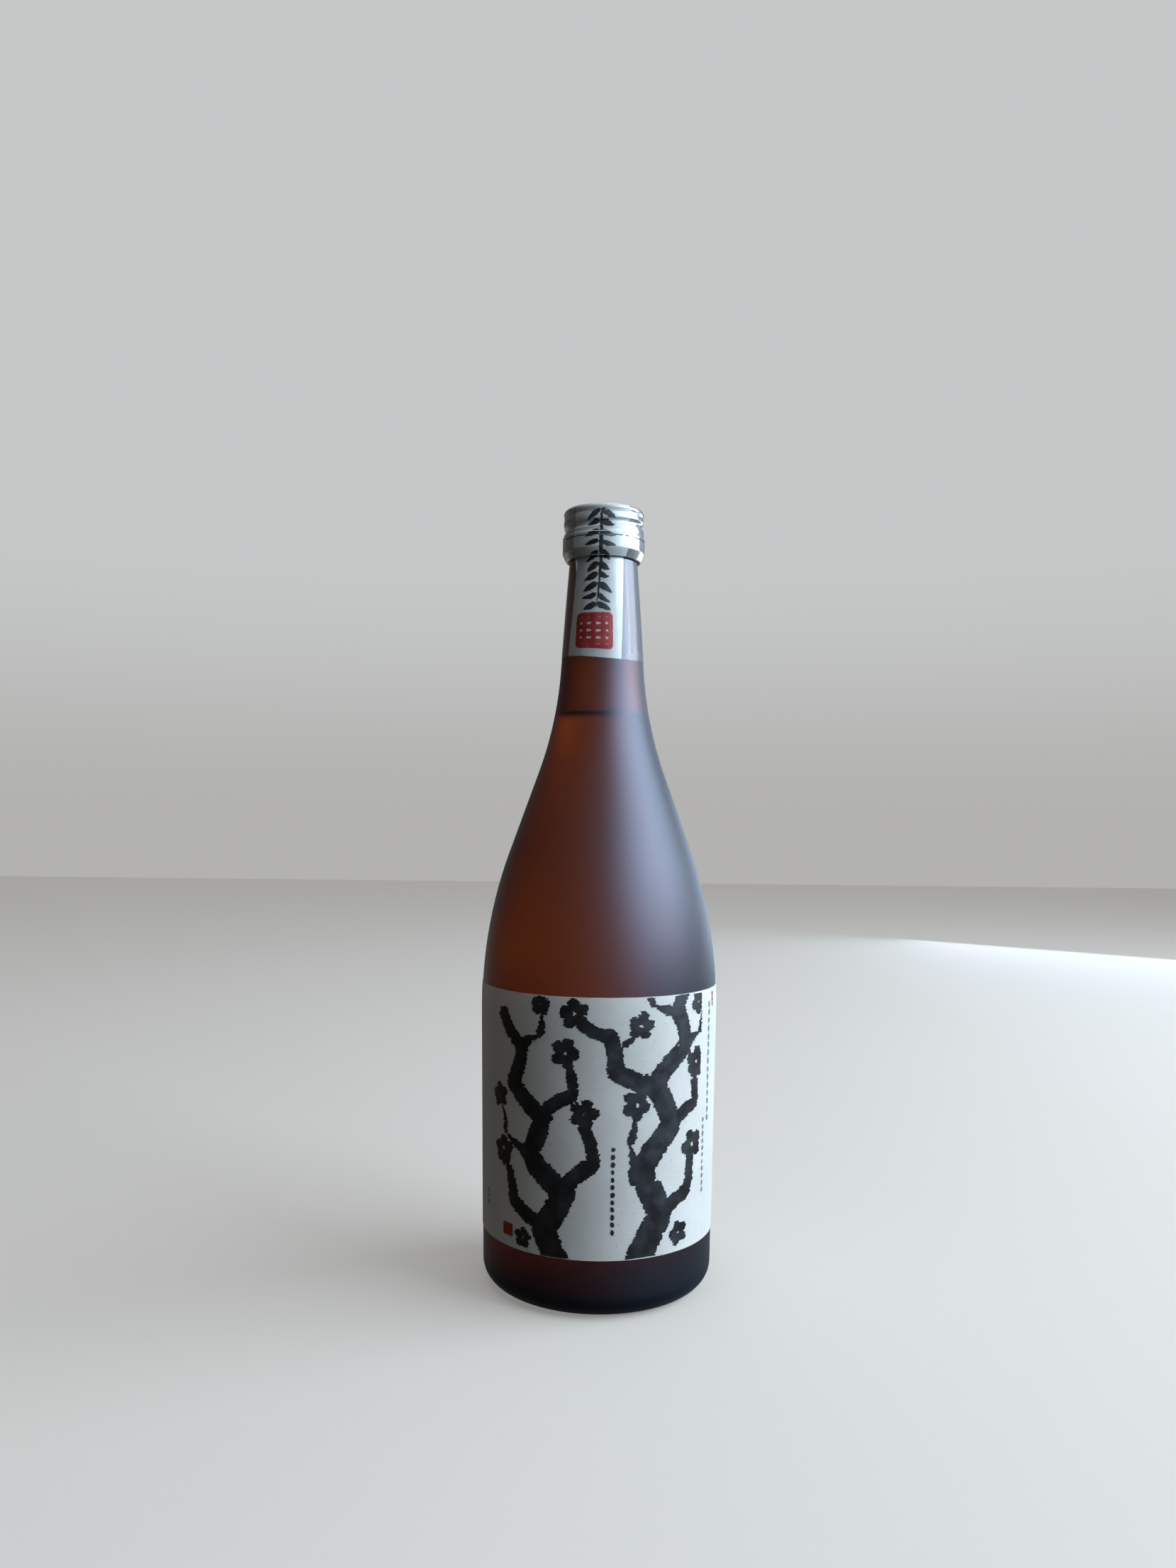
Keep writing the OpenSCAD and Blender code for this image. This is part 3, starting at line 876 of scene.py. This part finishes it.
def capSide(r):
    width, depth = 3 * cap["groove"], cap["groove"]
    side = [(r - depth * easing(k, 5), grooveZ + width * (1 - k / 5)) for k in range(1, 6)]
    side += [(r - depth * easing(5 - k, 5), grooveZ - width * k / 5) for k in range(1, 6)]
    rows = np.arange(side[-1][1] - 0.2, flareZ + cap["flareH"], -0.2)  # fine, for the rolled thread
    side += [(r, z) for z in rows]
    side += flareSide(r)
    full = side[-1][0]
    return side + [(full, flareZ - 0.4), (full, cap["low"])]


def capProfile(inset):
    top = [(x, cap["top"] - inset) for x in np.linspace(0, capEdge[0], 14)[:-1]]
    return top + arc(capEdge, cap["edge"] - inset, 90, 0, 10) + capSide(cap["r"] - inset)


def makeCapShell():
    bm = lathe(capProfile(0) + capProfile(cap["t"])[::-1])
    for vert in bm.verts:
        if reachOf(vert.co) > cap["rollFloor"] - 0.5:
            grow(vert, -rollDepth(vert.co.z / mm, turnOf(vert.co)))
    finishPiece(bm, "capShell", rolledAluminium("rolledAluminium"), "cap", ["cap_shell"])


def makeLiner():
    low, high, reach = linerLow.z / mm, linerHigh.z / mm, linerHigh.x / mm
    corner, bevel = 0.15, 0.4
    path = [(x, low) for x in np.linspace(0, reach - corner, 10)]
    path += arc((reach - corner, low + corner), corner, -90, 0, 4)
    path += [(reach, high - bevel), (reach - bevel, high)] + [(x, high) for x in np.linspace(reach - 1, 0, 8)]
    material, tree, shader = newMaterial("foamLiner")
    cells = noiseTexture(tree, objectCoords(tree), 1500, detail=3)
    tone = blendColours(tree, spread(tree, cells, 0.35, 0.65, 0, 1), (0.80, 0.80, 0.77), (0.88, 0.88, 0.86))
    tree.links.new(tone, shader.inputs["Base Color"])
    shader.inputs["Roughness"].default_value = 0.6
    addBump(tree, shader, cells, 0.25, 0.00006)
    finishPiece(lathe(path, 128), "capLiner", material, "liner", ["cap_liner"])


def bandSide(r):
    # straight, then tucked in under the locking ring
    tuck = ringZ - bottle["ringH"] / 2
    points = between((r, bandTop), (r, tuck + 0.3), 10)
    points += [(r - 0.08, tuck), (r - 0.3, tuck - 0.6)]
    points += between((r - 0.3, tuck - 0.6), (r - 1.3, tuck - 2.7), 8)[1:]
    return points


def makeBand():
    bm = lathe(bandSide(cap["bandR"]) + bandSide(cap["bandR"] - cap["t"])[::-1], closed=True)
    place = Matrix.Translation(((cap["bandR"] - cap["t"] / 2) * mm, 0, (bandTop + 0.05) * mm))
    size = Matrix.Diagonal((0.2 * mm, 0.8 * mm, 0.5 * mm, 1))
    for i in range(cap["bridges"]):  # stubs of the bridges that joined it to the cap
        made = bmesh.ops.create_cube(bm, size=1)
        turn = Matrix.Rotation(math.radians(360 / cap["bridges"] * i + 11), 4, "Z")
        bmesh.ops.transform(bm, matrix=turn @ place @ size, verts=made["verts"])
    finishPiece(bm, "pilferBand", rolledAluminium("bandAluminium"), "bottle", ["pilfer_band"])


makeCapShell()
makeLiner()
makeBand()


# clear shrink film, torn in two along the cut

film = {
    "gap": 0.03, "t": 0.12, "lip": 4.5, "low": filmLow.z / mm, "haze": 0.09, "sink": 0.7,
    "looseZ": 256, "fold": 0.10, "slack": 0.06, "droopZ": 240,
}


def shrinkFilm():
    material, tree, shader = newMaterial("shrinkFilm")
    tree.nodes.remove(shader)
    clear = node(tree, "ShaderNodeBsdfTransparent", Color=(0.955, 0.96, 0.97, 1))
    gloss = node(tree, "ShaderNodeBsdfGlossy", Color=(1, 1, 1, 1), Roughness=0.13)
    wrinkle = noiseTexture(tree, objectCoords(tree, (1, 1, 0.12)), 260, detail=3, roughness=0.55)
    addBump(tree, gloss, wrinkle, 0.25, 0.0002)
    fresnel = node(tree, "ShaderNodeFresnel", IOR=1.31)
    side = node(tree, "ShaderNodeNewGeometry")
    front = spread(tree, side.outputs["Backfacing"], 0, 1, 1, 0)  # only the outer face shines
    share = combine(tree, "MULTIPLY", fresnel.outputs[0], front)
    haze = node(tree, "ShaderNodeBsdfDiffuse", Color=(0.80, 0.84, 0.90, 1))
    mix = mixShaders(tree, share, mixShaders(tree, film["haze"], clear, haze), gloss)
    tree.links.new(mix.outputs[0], tree.nodes["Material Output"].inputs["Surface"])
    return material


def filmSides():
    # outer surface of the film on the cap and on the neck, as (radius, height) from the top down
    out = film["gap"] + film["t"]
    upper = arc(capEdge, cap["edge"] + out, 90, 0, 12)
    upper += between(upper[-1], (cap["r"] + out, flareZ + cap["flareH"]), 34)[1:]
    upper += flareSide(cap["r"] + out)[1:]
    upper += [(cap["bandR"] + out, flareZ - 0.4), (cap["bandR"] + out, cap["low"])]
    lower = [(x + out, z) for x, z in bandSide(cap["bandR"])]
    rest = [(outlineRadius(z, out), z) for z in np.linspace(neckTop - 0.6, film["low"], 70)]
    lower += between(lower[-1], rest[0], 5)[1:-1] + rest
    return upper, lower


filmUpper, filmLower = filmSides()


def filmRadius(z):
    side = filmUpper if z >= cap["low"] else filmLower
    reaches, heights = zip(*side[::-1])
    return float(np.interp(z, heights, reaches))


def capSink(z, angle):
    # how far the film is drawn into the cap's ring groove and rolled thread
    ring = cap["groove"] * max(0, 1 - ((z - grooveZ) / (3 * cap["groove"])) ** 2)
    return film["sink"] * (ring + rollDepth(z, angle))


def settle(co, lift=0.0):
    # the shrunk film is a little uneven: soft folds, and a lower edge that droops on the right
    z, angle = co.z / mm, math.radians(turnOf(co))
    across, back = math.cos(angle), math.sin(angle)
    fold = noise.noise(Vector((3.0 * across, 3.0 * back, z * 0.035)))
    fold += 0.5 * noise.noise(Vector((7.0 * across, 7.0 * back, z * 0.06 + 9)))
    loose = min(1, max(0, (film["looseZ"] - z) / 12))
    near = min(1, max(0, (z - film["low"]) / 3))
    out = (film["fold"] * fold + film["slack"]) * loose * (0.4 + 0.6 * near)
    share = min(1, max(0, (film["droopZ"] - z) / 18)) ** 2
    down = 1.0 + 0.8 * math.sin(angle) + 0.25 * math.sin(3 * angle + 1)
    wider = 1 + (max(out, 0) + lift) / reachOf(co)
    return Vector((co.x * wider, co.y * wider, co.z - down * share * mm))


def makeFilms():
    look = shrinkFilm()
    top = cap["top"] + film["gap"]
    lip = [(x, top + film["t"]) for x in np.linspace(capEdge[0] - film["lip"], capEdge[0], 12)[:-1]]
    inner = [(x, z - film["t"]) for x, z in lip] + arc(capEdge, cap["edge"] + film["gap"], 90, 0, 12)
    inner += [(x - film["t"], z) for x, z in filmUpper[13:]]
    bm = lathe(lip + filmUpper + inner[::-1], closed=True)
    for vert in bm.verts:
        reach = reachOf(vert.co)
        if vert.co.z / mm > cap["top"] + 0.01 and reach < capEdge[0]:  # the turned-in edge is crinkled
            angle = math.radians(turnOf(vert.co))
            share = (capEdge[0] - reach) / film["lip"]
            wave = math.sin(23 * angle + 2 * math.sin(5 * angle)) + 0.6 * math.sin(41 * angle + 1)
            vert.co.z += share * (0.12 + 0.09 * wave) * mm
            grow(vert, share * 0.35 * math.sin(7 * angle + math.sin(3 * angle)))
        elif reach > cap["r"] - 0.5:
            grow(vert, -capSink(vert.co.z / mm, turnOf(vert.co)))
    finishPiece(bm, "filmCap", look, "cap", ["film_cap"])
    bm = lathe(filmLower + [(x - film["t"], z) for x, z in filmLower[::-1]], closed=True)
    for vert in bm.verts:
        vert.co = settle(vert.co)
    finishPiece(bm, "filmNeck", look, "bottle", ["film_neck"])


makeFilms()


# white strip printed on the film, with a painted sprig and a red seal

strip = {
    # height, left and right edge in degrees, at two places; it leans a little
    "upper": (272, -45, 38), "lower": (224, -55, 26), "lift": 0.012, "thick": 0.02, "top": 276.2,
    "faceR": 13.6,
}
twigPaint = {
    # the stem's turn in degrees at its head and its foot
    "turns": (-4.0, -11.5), "top": 274.0, "bottom": 237.0, "pairs": 10, "step": 3.72,
    "left": -9.5, "right": 6.5, "end": 274.2, "foot": 236.3,
}
seal = {
    "turn": -13.8, "z": 230.6, "half": (6.5, 6.15), "bar": 1.5, "gaps": (4, 5), "corner": 1.6, "margin": 0.4,
    "cell": 0.16, "wear": 0.10,
}
perDegree = strip["faceR"] / 57.3  # millimetres across the strip for each degree
paintLift = strip["lift"] + strip["thick"] + 0.012


def stripPaint():
    material, tree, shader = newMaterial("stripWhite")
    cloud = noiseTexture(tree, objectCoords(tree), 240, detail=3)
    tone = blendColours(tree, spread(tree, cloud, 0.35, 0.65, 0, 1), (0.66, 0.69, 0.70), (0.72, 0.75, 0.755))
    tree.links.new(tone, shader.inputs["Base Color"])
    shader.inputs["Roughness"].default_value = 0.32
    shader.inputs["Coat Weight"].default_value = 0.5
    shader.inputs["Coat Roughness"].default_value = 0.12
    wrinkle = noiseTexture(tree, objectCoords(tree, (1, 1, 0.12)), 260, detail=3)
    addBump(tree, shader, wrinkle, 0.2, 0.0002)
    return material


def slant(vert):
    # turns a vertex made between -45 and 45 degrees to its place between the strip's edges
    z = vert.co.z / mm
    share = (z - strip["lower"][0]) / (strip["upper"][0] - strip["lower"][0])
    left, right = [strip["lower"][k] + (strip["upper"][k] - strip["lower"][k]) * share for k in (1, 2)]
    angle = math.radians(left + (right - left) * (turnOf(vert.co) + 45) / 90)
    reach = math.hypot(vert.co.x, vert.co.y)
    vert.co = (reach * math.sin(angle), -reach * math.cos(angle), vert.co.z)


def makeStrip():
    paint = stripPaint()
    upper = [place for place in filmUpper if place[1] < strip["top"]]
    for name, side, body in (("stripCap", upper, "cap"), ("stripNeck", filmLower, "bottle")):
        inner = [(r + strip["lift"], z) for r, z in side]
        outer = [(r + strip["lift"] + strip["thick"], z) for r, z in side]
        bm = lathe(inner + outer[::-1], 64, 90, -45, closed=True)
        for vert in bm.verts:
            slant(vert)
            if body == "bottle":
                vert.co = settle(vert.co)
            else:
                grow(vert, -capSink(vert.co.z / mm, turnOf(vert.co)))
        finishPiece(bm, name, paint, body)


def layOnFilm(bm):
    # like layOnLabel, but follows the film's own unevenness
    for vert in bm.verts:
        z, angle = vert.co.y, vert.co.x / strip["faceR"]
        r = filmRadius(z)
        co = Vector((r * math.sin(angle) * mm, -r * math.cos(angle) * mm, z * mm))
        if z < cap["low"] - 0.1:
            vert.co = settle(co, paintLift)
        else:
            vert.co = co
            grow(vert, paintLift - capSink(z, math.degrees(angle)))
    thicken(bm, 0.01)


def sprig():
    # one upright twig with pairs of slim leaves, drawn with a fine brush
    head, foot = [turn * perDegree for turn in twigPaint["turns"]]
    top, bottom = twigPaint["top"], twigPaint["bottom"]
    strokes = [brushStroke((head, top - 1), (foot, bottom), 1.1, 0.7, 0.6)]
    dice = np.random.RandomState(5)
    for i in range(twigPaint["pairs"]):
        z = top - 1.4 - i * twigPaint["step"]
        u = head + (foot - head) * (top - z) / (top - bottom)
        for way in (-1, 1):
            tip = (u + way * dice.uniform(4.2, 5.9), z - dice.uniform(0.4, 3.2))
            width, bend = dice.uniform(1.6, 2.3), way * dice.uniform(-0.5, 0.2)
            strokes.append(brushStroke((u + way * 0.5, z + 0.7), tip, width, bend, 0.6, 0.15))
    return strokes


def makeStripPainting():
    black = blackInk("sprigInk")
    strokes = sprig()
    for name, low, high, body in (("sprigCap", cap["low"] + 0.05, twigPaint["end"], "cap"),
                                  ("sprigNeck", twigPaint["foot"], filmHigh.z / mm - 0.05, "bottle")):
        bm = inkSheet(lambda u, v: inkField(strokes, u, v, ink["fineEdge"]),
                      (twigPaint["left"], low), (twigPaint["right"], high), ink["fineCell"])
        layOnFilm(bm)
        finishPiece(bm, name, black, body, smooth=False)
    bm = latticeSheet((seal["turn"] * perDegree, seal["z"]), seal)
    layOnFilm(bm)
    finishPiece(bm, "stripSeal", redInk("sealRed"), "bottle", smooth=False)


makeStrip()
makeStripPainting()


# floor

def makeStage():
    bm = bmesh.new()
    bmesh.ops.create_grid(bm, x_segments=1, y_segments=1, size=2.5)
    mesh = bpy.data.meshes.new("floor")
    bm.to_mesh(mesh)
    bm.free()
    floor = bpy.data.objects.new("floor", mesh)
    bpy.context.scene.collection.objects.link(floor)
    material, tree, shader = newMaterial("paleFloor")
    shader.inputs["Base Color"].default_value = (0.46, 0.43, 0.40, 1)
    shader.inputs["Roughness"].default_value = 0.8
    shader.inputs["Specular IOR Level"].default_value = 0.1
    shader.inputs["Emission Color"].default_value = (0.22, 0.22, 0.215, 1)  # evens out the far end
    shader.inputs["Emission Strength"].default_value = 1
    mesh.materials.append(material)
    floor.visible_diffuse = False  # keeps the glow of the floor off the bottle
    floor.visible_glossy = False
    floor.visible_transmission = False


makeStage()
